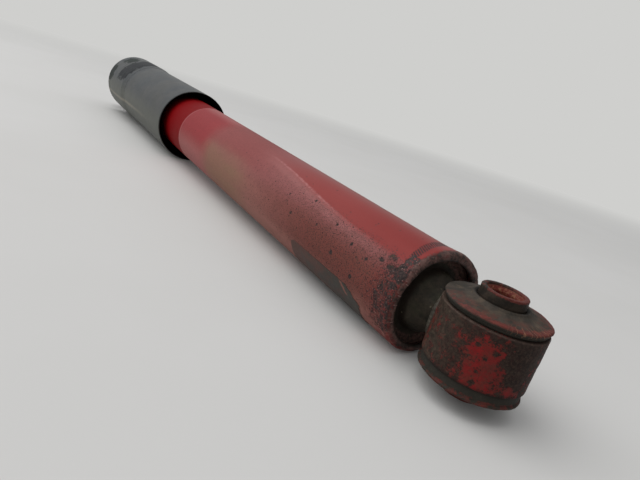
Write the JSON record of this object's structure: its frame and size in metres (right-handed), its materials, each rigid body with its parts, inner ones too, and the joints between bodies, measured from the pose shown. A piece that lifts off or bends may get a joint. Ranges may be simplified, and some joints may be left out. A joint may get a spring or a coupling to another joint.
{
  "type": "rear shock absorber",
  "caption": "Twin-tube telescopic shock absorber: red reservoir tube, dark dust tube over the rod, rubber-bushed eye with steel sleeve at both ends, piston, valves and bump stop inside",
  "frame": {"origin": "centre of the lower eye, half way along its sleeve", "axes": "+X along the shock from the lower eye to the upper eye, +Z along the lower eye's bolt, +Y completes a right-handed frame"},
  "size_m": [0.7325, 0.0728, 0.0728],
  "materials": {
    "red_paint": "faded and chipped red enamel",
    "grey_paint": "worn dark grey enamel",
    "worn_steel": "dull, oily and dirty",
    "steel": "machined",
    "sintered": "sintered iron, matt",
    "chrome": "hard chrome, ground",
    "bronze": "machined bearing bronze",
    "rubber": "aged black rubber",
    "label": "blank, scuffed dark label"
  },
  "bodies": {
    "reservoir": {"reservoir_tube": "red_paint", "base_cup": "worn_steel", "lower_weld": "worn_steel", "lower_eye": "red_paint", "lower_bush": "rubber", "label": "label", "pressure_tube": "steel", "foot_valve_body": "sintered", "foot_intake_spring": "steel", "foot_spring_washer": "steel", "foot_bolt": "steel", "foot_nut": "steel", "rod_guide": "sintered", "guide_bushing": "bronze", "rod_seal": "rubber", "guide_o_ring": "rubber", "seal_washer": "steel", "gland_nut": "worn_steel", "wiper": "rubber"},
    "lower_bolt_sleeve": {"lower_sleeve": "steel"},
    "intake_plate": {"foot_intake_plate": "steel"},
    "compression_discs": {"foot_compression_discs": "steel"},
    "piston_seal": {"piston_ring": "bronze"},
    "rod_and_dust_tube": {"piston": "sintered", "piston_rod": "chrome", "rebound_nut": "steel", "rebound_spring": "steel", "check_spring": "steel", "spring_spacer": "steel", "stop_collar": "steel", "rebound_buffer": "rubber", "bump_stop": "rubber", "bump_washer": "steel", "cap_collar": "steel", "dust_tube": "grey_paint", "dust_cap": "grey_paint", "upper_eye": "red_paint", "upper_weld": "worn_steel", "upper_bush": "rubber"},
    "rebound_disc_stack": {"rebound_discs": "steel"},
    "piston_check_plate": {"check_plate": "steel"},
    "upper_bolt_sleeve": {"upper_sleeve": "steel"}
  },
  "joints": [
    {"name": "rod_travel", "type": "slide", "parent": "reservoir", "child": "piston_seal", "axis": [1, 0, 0], "range_m": [-0.153, 0.0575]},
    {"name": "rod_turn", "type": "hinge", "parent": "piston_seal", "child": "rod_and_dust_tube", "pos_m": [0.245, 0, 0], "axis": [1, 0, 0], "continuous": true},
    {"name": "lower_bush_twist", "type": "hinge", "parent": "reservoir", "child": "lower_bolt_sleeve", "pos_m": [0, 0, 0], "axis": [0, 0, 1], "range_deg": [-15, 15]},
    {"name": "upper_bush_twist", "type": "hinge", "parent": "rod_and_dust_tube", "child": "upper_bolt_sleeve", "pos_m": [0.6865, 0, 0], "axis": [0, 0, 1], "range_deg": [-15, 15]},
    {"name": "foot_intake_lift", "type": "slide", "parent": "reservoir", "child": "intake_plate", "axis": [1, 0, 0], "range_m": [0, 0.0012], "deforming": ["foot_intake_spring"]},
    {"name": "foot_compression_lift", "type": "slide", "parent": "reservoir", "child": "compression_discs", "axis": [1, 0, 0], "range_m": [-0.0004, 0], "deforming": ["foot_spring_washer"]},
    {"name": "check_plate_lift", "type": "slide", "parent": "rod_and_dust_tube", "child": "piston_check_plate", "axis": [1, 0, 0], "range_m": [0, 0.001], "deforming": ["check_spring"]},
    {"name": "rebound_disc_lift", "type": "slide", "parent": "rod_and_dust_tube", "child": "rebound_disc_stack", "axis": [1, 0, 0], "range_m": [-0.0005, 0], "deforming": ["rebound_spring"]}
  ]
}
